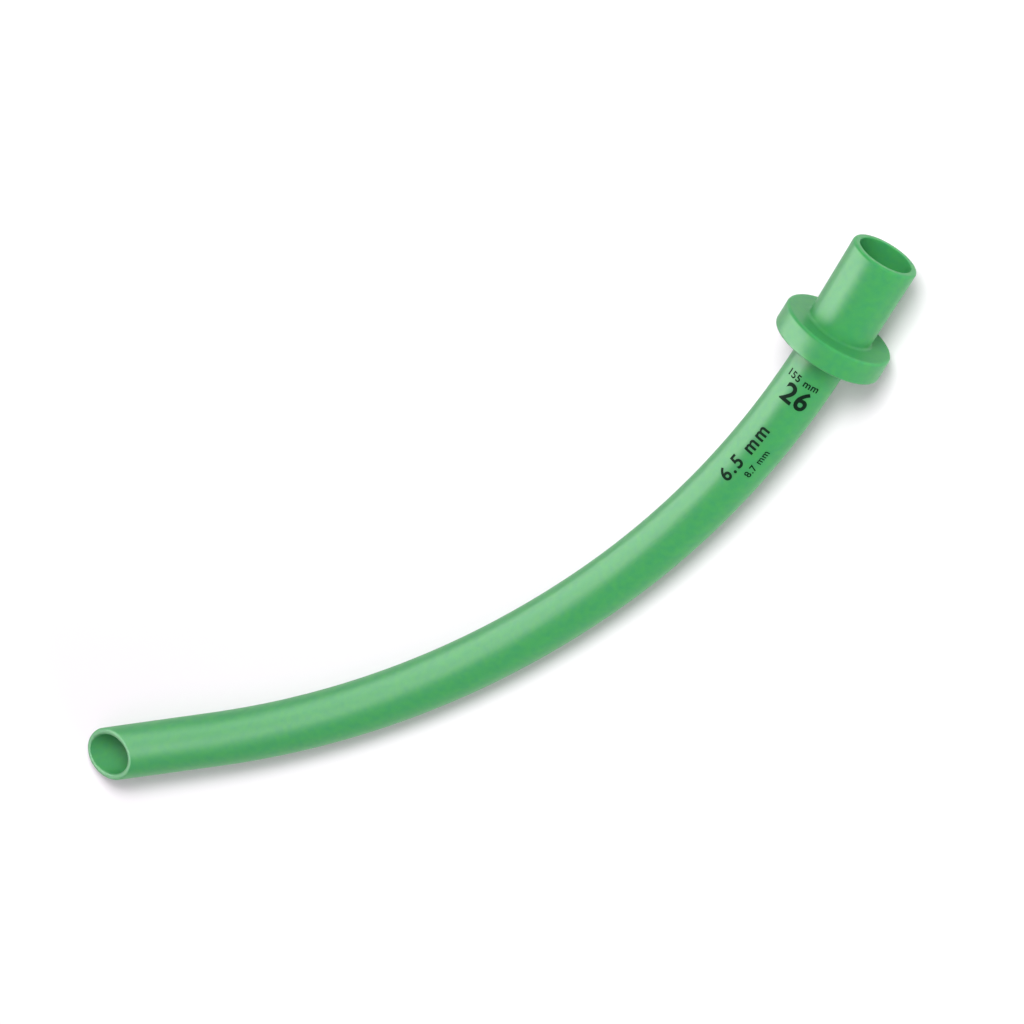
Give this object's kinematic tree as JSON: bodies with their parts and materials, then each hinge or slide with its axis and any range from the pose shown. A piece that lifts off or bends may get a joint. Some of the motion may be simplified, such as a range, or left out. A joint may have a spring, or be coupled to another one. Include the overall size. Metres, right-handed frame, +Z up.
{
  "type": "nasopharyngeal airway",
  "caption": "Curved soft rubber breathing tube with a bevelled tip, a thick round flange that rests at the nostril and a short open socket for a connector.",
  "frame": {"origin": "on the table, under the centre of the box that holds the airway as it lies on its side", "axes": "+X from the middle of the bevel to under the middle of the socket's mouth, and +Z up from the table; the middle of the tube bulges towards -Y"},
  "size_m": [0.1682, 0.029, 0.0185],
  "materials": {
    "green_rubber": "satin moulded rubber"
  },
  "bodies": {
    "root": {"airway": "green_rubber"}
  },
  "joints": []
}
